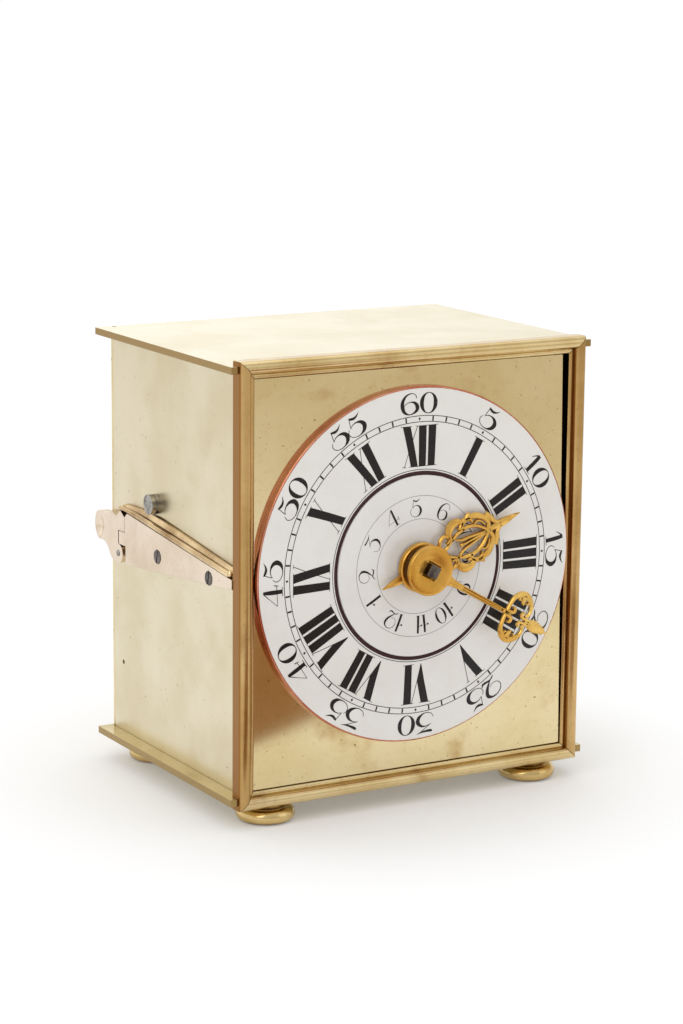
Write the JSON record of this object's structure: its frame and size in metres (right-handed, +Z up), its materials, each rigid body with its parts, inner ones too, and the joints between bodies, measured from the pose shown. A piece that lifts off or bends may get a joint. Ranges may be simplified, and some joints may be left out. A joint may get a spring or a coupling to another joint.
{
  "type": "carriage clock",
  "caption": "Small brass box clock with a white enamel dial, a turning alarm disc, pierced gilt hands, bun feet, a hinged back and a sprung thumb lever on its left side.",
  "frame": {"origin": "on the resting plane under the middle of the outside box", "axes": "+Z up, dial faces -Y, +X to the right as the dial is read"},
  "size_m": [0.104, 0.0908, 0.117],
  "materials": {
    "brass_sheet": "satin, polished by hand, with brown tarnish spots",
    "brass_frame": "polished, deeper golden tone with darkened mitres",
    "brass_lever": "polished, pale pinkish tone",
    "brass_movement": "fine brushed",
    "gilt": "mercury gilt, satin",
    "enamel": "white vitreous enamel with black numerals, glossy",
    "copper": "polished copper edge",
    "steel": "dark polished steel",
    "spring_steel": "blued steel",
    "bell_metal": "pale bell bronze"
  },
  "bodies": {
    "case": {"base_plate": "brass_sheet", "top_plate": "brass_sheet", "left_side_panel": "brass_sheet", "right_side_panel": "brass_sheet", "front_frame_left": "brass_frame", "front_frame_right": "brass_frame", "front_frame_top": "brass_frame", "front_frame_bottom": "brass_frame", "dial_plate": "brass_sheet", "feet": "brass_frame", "foot_nuts": "brass_frame", "movement_posts": "brass_frame", "dial_base": "copper", "dial_enamel": "enamel", "movement_front_plate": "brass_movement", "movement_back_plate": "brass_movement", "pillars": "brass_movement", "pillar_screws": "steel", "click_springs": "spring_steel", "balance_spring": "spring_steel", "balance_cock": "brass_movement", "balance_bracket": "brass_movement", "bell": "bell_metal", "bell_post": "steel", "side_bracket": "brass_lever", "bracket_screws": "steel", "lever_spring": "brass_lever", "lever_pin": "brass_lever", "stop_stud": "steel"},
    "rear_door": {"rear_door": "brass_sheet", "door_knob": "brass_frame"},
    "going_barrel": {"going_barrel": "brass_movement", "going_barrel_cover": "brass_movement", "going_barrel_spring": "spring_steel"},
    "winding_arbor": {"barrel_arbor": "steel", "ratchet_wheel": "steel"},
    "click": {"click": "steel"},
    "centre": {"centre_arbor": "steel", "centre_wheel": "brass_movement", "cannon_pinion": "steel", "minute_hand": "gilt"},
    "third": {"third_wheel": "brass_movement"},
    "fourth": {"fourth_wheel": "brass_movement"},
    "escape": {"escape_wheel": "brass_movement"},
    "balance": {"balance_wheel": "brass_movement", "balance_staff": "steel"},
    "minute_wheel": {"minute_wheel": "brass_movement"},
    "hour": {"hour_wheel": "brass_movement", "hour_hand": "gilt"},
    "alarm_disc": {"alarm_disc": "enamel", "alarm_pipe": "brass_movement"},
    "alarm_barrel": {"alarm_barrel": "brass_movement", "alarm_barrel_cover": "brass_movement", "alarm_barrel_spring": "spring_steel"},
    "alarm_arbor": {"alarm_arbor": "steel"},
    "alarm_click": {"alarm_click": "steel"},
    "alarm_scape": {"alarm_scape_wheel": "brass_movement"},
    "hammer": {"hammer": "steel"},
    "alarm_detent": {"alarm_detent": "steel"},
    "side_lever": {"side_lever": "brass_lever"}
  },
  "joints": [
    {"name": "minute_hand_turn", "type": "hinge", "parent": "case", "child": "centre", "pos_m": [0, 0.00205, 0.0622], "axis": [0, 1, 0], "continuous": true},
    {"name": "rear_door_swing", "type": "hinge", "parent": "case", "child": "rear_door", "pos_m": [-0.04695, 0.03915, 0.0622], "axis": [0, 0, 1], "range_deg": [0, 88]},
    {"name": "going_barrel_turn", "type": "hinge", "parent": "case", "child": "going_barrel", "pos_m": [-0.01782, 0.00205, 0.04438], "axis": [0, 1, 0], "continuous": true},
    {"name": "winding_turn", "type": "hinge", "parent": "case", "child": "winding_arbor", "pos_m": [-0.01782, 0.00205, 0.04438], "axis": [0, 1, 0], "range_deg": [0, 1440]},
    {"name": "click_lift", "type": "hinge", "parent": "case", "child": "click", "pos_m": [-0.01782, 0.00205, 0.05738], "axis": [0, -1, 0], "range_deg": [0, 12]},
    {"name": "third_wheel_turn", "type": "hinge", "parent": "case", "child": "third", "pos_m": [-0.009, 0.00205, 0.07779], "axis": [0, 1, 0], "continuous": true},
    {"name": "fourth_wheel_turn", "type": "hinge", "parent": "case", "child": "fourth", "pos_m": [0.00425, 0.00205, 0.08544], "axis": [0, 1, 0], "continuous": true},
    {"name": "escape_wheel_turn", "type": "hinge", "parent": "case", "child": "escape", "pos_m": [0.01739, 0.00205, 0.08896], "axis": [0, 1, 0], "continuous": true},
    {"name": "balance_swing", "type": "hinge", "parent": "case", "child": "balance", "pos_m": [0.02425, 0.00205, 0.09145], "axis": [0, 1, 0], "range_deg": [-135, 135]},
    {"name": "minute_wheel_turn", "type": "hinge", "parent": "case", "child": "minute_wheel", "pos_m": [-0.01128, 0.00205, 0.0581], "axis": [0, 1, 0], "continuous": true},
    {"name": "hour_hand_turn", "type": "hinge", "parent": "case", "child": "hour", "pos_m": [0, 0.00205, 0.0622], "axis": [0, 1, 0], "continuous": true},
    {"name": "alarm_disc_set", "type": "hinge", "parent": "hour", "child": "alarm_disc", "pos_m": [0, 0.00205, 0.0622], "axis": [0, 1, 0], "continuous": true},
    {"name": "alarm_barrel_turn", "type": "hinge", "parent": "case", "child": "alarm_barrel", "pos_m": [0.025, 0.00205, 0.0402], "axis": [0, 1, 0], "continuous": true},
    {"name": "alarm_winding_turn", "type": "hinge", "parent": "case", "child": "alarm_arbor", "pos_m": [0.025, 0.00205, 0.0402], "axis": [0, 1, 0], "range_deg": [0, 1080]},
    {"name": "alarm_click_lift", "type": "hinge", "parent": "case", "child": "alarm_click", "pos_m": [0.025, 0.00205, 0.0532], "axis": [0, -1, 0], "range_deg": [0, 12]},
    {"name": "alarm_scape_turn", "type": "hinge", "parent": "case", "child": "alarm_scape", "pos_m": [0.02792, 0.00205, 0.05674], "axis": [0, 1, 0], "continuous": true},
    {"name": "hammer_swing", "type": "hinge", "parent": "case", "child": "hammer", "pos_m": [0.0306, 0.00205, 0.0669], "axis": [0, 1, 0], "range_deg": [-0.5, 12]},
    {"name": "alarm_detent_lift", "type": "hinge", "parent": "case", "child": "alarm_detent", "pos_m": [0.016, 0.00205, 0.0542], "axis": [0, -1, 0], "range_deg": [0, 8]},
    {"name": "side_lever_swing", "type": "hinge", "parent": "case", "child": "side_lever", "pos_m": [-0.0478, 0.03075, 0.0573], "axis": [-1, 0, 0], "range_deg": [0, 70]}
  ],
  "couplings": [
    {"joint": "going_barrel_turn", "follows": "minute_hand_turn", "ratio": -0.16667},
    {"joint": "third_wheel_turn", "follows": "minute_hand_turn", "ratio": -8},
    {"joint": "fourth_wheel_turn", "follows": "minute_hand_turn", "ratio": 60},
    {"joint": "escape_wheel_turn", "follows": "minute_hand_turn", "ratio": -450},
    {"joint": "minute_wheel_turn", "follows": "minute_hand_turn", "ratio": -0.33333},
    {"joint": "hour_hand_turn", "follows": "minute_hand_turn", "ratio": 0.083333},
    {"joint": "alarm_scape_turn", "follows": "alarm_barrel_turn", "ratio": -6}
  ]
}
